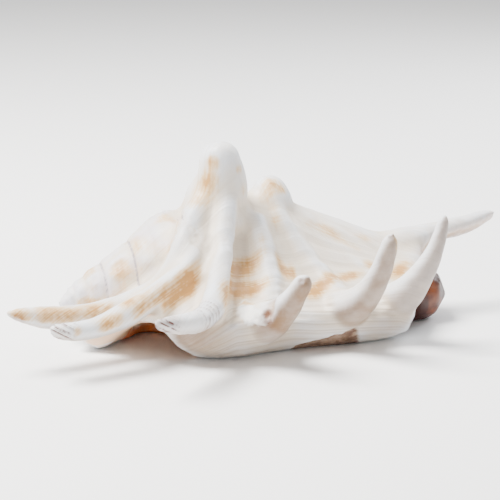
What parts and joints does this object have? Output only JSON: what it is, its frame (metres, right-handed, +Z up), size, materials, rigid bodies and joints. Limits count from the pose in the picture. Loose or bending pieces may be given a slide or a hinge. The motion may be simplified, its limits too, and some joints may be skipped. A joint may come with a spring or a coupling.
{
  "type": "spider conch shell",
  "caption": "Large sea snail shell with a tapering spire, a knobbed back, a flared lip drawn out into curved fingers and a long channelled canal, resting mouth down.",
  "frame": {"origin": "middle of the footprint, on the plane the shell rests on", "axes": "+X towards the siphonal canal, -X towards the apex of the spire, -Y towards the outer lip and its fingers, +Z up through the knobs on the back"},
  "size_m": [0.1836, 0.0982, 0.0659],
  "materials": {
    "shell": "chalky white to cream porcelain-like lime with tan blotches, satin on the back and glossy brown inside the mouth"
  },
  "bodies": {
    "root": {"shell": "shell"}
  },
  "joints": []
}
